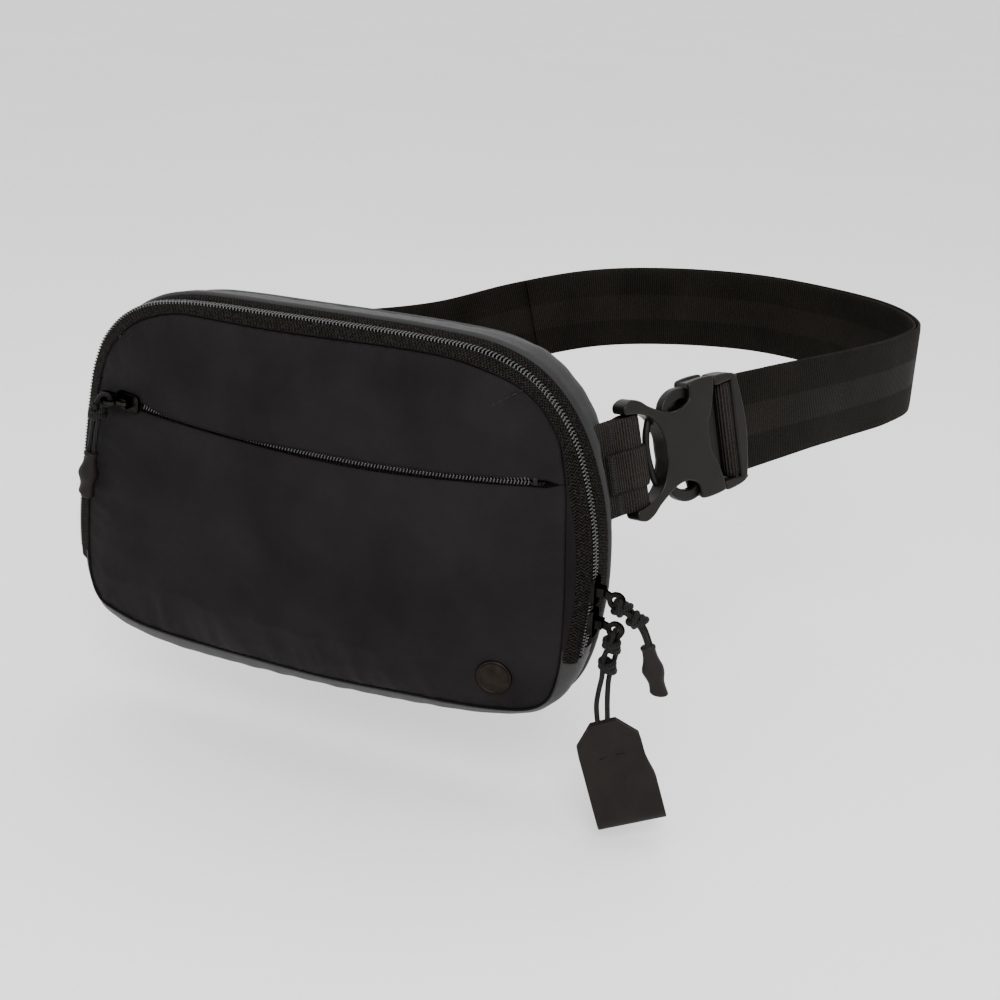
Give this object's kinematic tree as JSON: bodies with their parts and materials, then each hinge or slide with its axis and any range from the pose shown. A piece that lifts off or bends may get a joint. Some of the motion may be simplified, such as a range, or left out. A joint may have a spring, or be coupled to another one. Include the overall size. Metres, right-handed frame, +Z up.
{
  "type": "belt bag",
  "caption": "Zipped belt bag with a webbing belt, a side-release buckle, a front pocket and corded zip pulls.",
  "frame": {"origin": "centre of the flat back panel's outer face, which lies against the wearer", "axes": "+Y out of the back panel towards the wearer, +Z up, +X to the right for someone who faces the bag's front"},
  "size_m": [0.3259, 0.2635, 0.188],
  "materials": {
    "mesh_back": "matte, air mesh over foam",
    "lining": "plain weave, slightly shiny",
    "shell_nylon": "smooth coated nylon, soft sheen",
    "zip_tape": "matte knitted tape",
    "zip_coil": "satin nylon coil",
    "webbing": "ribbed polyester webbing, satin centre stripe",
    "buckle_plastic": "satin acetal",
    "slider_metal": "gunmetal",
    "bright_metal": "polished nickel",
    "badge_metal": "dark gunmetal",
    "pull_cord": "braided cord",
    "toggle_rubber": "matte rubber",
    "tag_leather": "matte grained leather"
  },
  "bodies": {
    "back_shell": {"back_panel": "mesh_back", "back_lining": "lining", "back_gusset": "shell_nylon", "main_tape_back": "zip_tape", "main_coil_back": "zip_coil", "zip_end_stops": "shell_nylon", "right_tab": "webbing", "right_loop": "webbing", "left_tab": "webbing", "belt_far": "webbing", "belt_tail_far": "webbing", "buckle_female": "buckle_plastic"},
    "front_shell": {"front_upper_panel": "shell_nylon", "front_pocket_panel": "shell_nylon", "pocket_lining": "lining", "main_tape_front": "zip_tape", "front_gusset": "shell_nylon", "main_coil_front": "zip_coil", "pocket_tape_upper": "zip_tape", "pocket_tape_lower": "zip_tape", "pocket_coil": "zip_coil", "pocket_end_stop": "slider_metal", "badge_cap": "badge_metal", "badge_rivet": "slider_metal"},
    "upper_slider": {"upper_slider": "slider_metal"},
    "upper_link": {"upper_puller": "slider_metal"},
    "upper_pendant": {"upper_cord": "pull_cord", "upper_knot": "pull_cord", "rubber_toggle": "toggle_rubber"},
    "lower_slider": {"lower_slider": "slider_metal"},
    "lower_link": {"lower_puller": "slider_metal"},
    "lower_pendant": {"lower_cord": "pull_cord", "lower_knot": "pull_cord", "leather_tag": "tag_leather"},
    "pocket_slider": {"pocket_slider": "bright_metal"},
    "pocket_link": {"pocket_puller": "bright_metal"},
    "pocket_pendant": {"pocket_cord": "pull_cord", "pocket_knot": "pull_cord", "pocket_toggle": "toggle_rubber"},
    "buckle_plug": {"buckle_male": "buckle_plastic", "belt_near": "webbing", "belt_tail_near": "webbing"},
    "upper_prong": {"prong_upper": "buckle_plastic"},
    "lower_prong": {"prong_lower": "buckle_plastic"}
  },
  "joints": [
    {"name": "front_open", "type": "hinge", "parent": "back_shell", "child": "front_shell", "pos_m": [0, -0.029, -0.0745], "axis": [1, 0, 0], "range_deg": [0, 35]},
    {"name": "upper_zip", "type": "slide", "parent": "back_shell", "child": "upper_slider", "axis": [0, 0, 1], "range_m": [0, 0.024]},
    {"name": "upper_link_swing", "type": "hinge", "parent": "upper_slider", "child": "upper_link", "pos_m": [0.117, -0.029, -0.008], "axis": [0, -1, 0], "range_deg": [-3, 90]},
    {"name": "upper_pull_swing", "type": "hinge", "parent": "upper_link", "child": "upper_pendant", "pos_m": [0.1226, -0.029, -0.0108], "axis": [0, -1, 0], "range_deg": [-5, 35]},
    {"name": "lower_zip", "type": "slide", "parent": "back_shell", "child": "lower_slider", "axis": [0, 0, 1], "range_m": [-0.009, 0.0012]},
    {"name": "lower_link_swing", "type": "hinge", "parent": "lower_slider", "child": "lower_link", "pos_m": [0.117, -0.029, -0.021], "axis": [0, -1, 0], "range_deg": [-7, 3]},
    {"name": "lower_pull_swing", "type": "hinge", "parent": "lower_link", "child": "lower_pendant", "pos_m": [0.1229, -0.029, -0.0226], "axis": [0, -1, 0], "range_deg": [-3, 25]},
    {"name": "pocket_zip", "type": "hinge", "parent": "front_shell", "child": "pocket_slider", "pos_m": [0.0096, 0.38656, 0.27894], "axis": [0.0342, -0.4956, 0.8679], "range_deg": [0, 18.5]},
    {"name": "pocket_link_swing", "type": "hinge", "parent": "pocket_slider", "child": "pocket_link", "pos_m": [-0.07483, -0.04446, 0.03897], "axis": [0.1134, -0.0045, 0.9935], "range_deg": [-0.5, 55]},
    {"name": "pocket_pull_swing", "type": "hinge", "parent": "pocket_link", "child": "pocket_pendant", "pos_m": [-0.08045, -0.0457, 0.03961], "axis": [0.1134, -0.0045, 0.9935], "range_deg": [-1, 18]},
    {"name": "buckle_release", "type": "slide", "parent": "back_shell", "child": "buckle_plug", "axis": [0.4915, 0.8687, 0.061], "range_m": [0, 0.04]},
    {"name": "upper_prong_squeeze", "type": "hinge", "parent": "buckle_plug", "child": "upper_prong", "pos_m": [0.13318, 0.0308, 0.04459], "axis": [0.8432, -0.4923, 0.216], "range_deg": [0, 8], "stiffness_Nm_per_rad": 0.4},
    {"name": "lower_prong_squeeze", "type": "hinge", "parent": "buckle_plug", "child": "lower_prong", "pos_m": [0.13754, 0.0297, 0.0251], "axis": [0.8432, -0.4923, 0.216], "range_deg": [-8, 0], "stiffness_Nm_per_rad": 0.4}
  ],
  "couplings": [
    {"joint": "lower_prong_squeeze", "follows": "upper_prong_squeeze", "ratio": -1}
  ]
}
